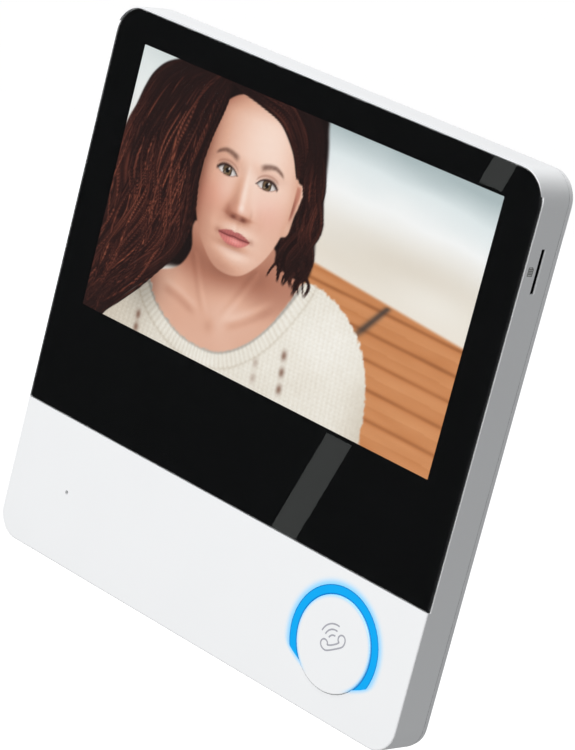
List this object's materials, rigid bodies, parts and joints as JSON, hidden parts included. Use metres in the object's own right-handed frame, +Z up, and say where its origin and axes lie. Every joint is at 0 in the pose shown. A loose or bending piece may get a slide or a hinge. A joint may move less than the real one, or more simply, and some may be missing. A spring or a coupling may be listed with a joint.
{
  "type": "video intercom monitor",
  "caption": "Wall-mounted door-entry monitor with a wide colour screen behind black glass and a lit round call button on a white panel.",
  "frame": {"origin": "centre of the wall bracket's four-screw pattern, on the plane of the wall", "axes": "+X to the viewer's right along the screen's width, +Y into the wall, +Z up; the screen faces -Y"},
  "size_m": [0.1812, 0.0185, 0.1794],
  "materials": {
    "white_plastic": "satin",
    "back_plastic": "fine matt",
    "black_glass": "polished, printed black round a clear window",
    "light_guide": "translucent, lit blue",
    "clear_acrylic": "clear sheet",
    "display_glass": "display glass",
    "white_tray": "matt",
    "tape": "matt",
    "foam": "matt",
    "rubber": "matt",
    "steel": "zinc plated",
    "tin": "tinned",
    "screw_steel": "nickel plated",
    "brass": "turned",
    "contact_gold": "gold flash",
    "circuit_board": "solder mask",
    "chip_black": "matt",
    "connector_white": "matt",
    "switch_black": "matt",
    "capacitor_can": "satin",
    "ferrite": "matt",
    "flex_orange": "polyimide film",
    "paper_cone": "pressed paper",
    "magnet": "plated",
    "wire_red": "matt",
    "lamp": "lamp body"
  },
  "bodies": {
    "wall_bracket": {"wall_bracket": "steel"},
    "monitor": {"front_housing": "white_plastic", "cover_glass": "black_glass", "glass_adhesive": "tape", "back_cover": "back_plastic", "housing_screws": "screw_steel", "lcd_gasket": "foam", "lcd_bezel": "tin", "lcd_cell": "display_glass", "lcd_light_guide": "clear_acrylic", "lcd_tray": "white_tray", "lcd_bracket": "steel", "lcd_bracket_screws": "screw_steel", "lcd_ribbon": "flex_orange", "ribbon_connector": "connector_white", "main_board": "circuit_board", "board_standoffs": "brass", "board_screws": "screw_steel", "processor": "chip_black", "memory_chips": "chip_black", "shield_can": "tin", "board_capacitors": "capacitor_can", "power_inductor": "ferrite", "micro_sd_socket": "tin", "door_sockets": "connector_white", "power_socket": "connector_white", "socket_pins": "contact_gold", "speaker_basket": "steel", "speaker_magnet": "magnet", "speaker_cone": "paper_cone", "speaker_gasket": "foam", "speaker_clamp": "switch_black", "speaker_screws": "screw_steel", "speaker_leads": "wire_red", "microphone": "capacitor_can", "microphone_boot": "rubber", "microphone_leads": "wire_red", "button_light_ring": "light_guide", "button_board": "circuit_board", "button_switch": "switch_black", "ring_leds": "lamp", "button_board_screws": "screw_steel", "button_ribbon": "flex_orange"},
    "call_button": {"button_cap": "white_plastic", "switch_plunger": "switch_black"}
  },
  "joints": [
    {"name": "monitor_lift", "type": "slide", "parent": "wall_bracket", "child": "monitor", "axis": [0, 0, 1], "range_m": [0, 0.0065]},
    {"name": "call_button_press", "type": "slide", "parent": "monitor", "child": "call_button", "axis": [0, 1, 0], "range_m": [0, 0.0006], "stiffness_N_per_m": 2500, "springref_m": -0.0003}
  ]
}
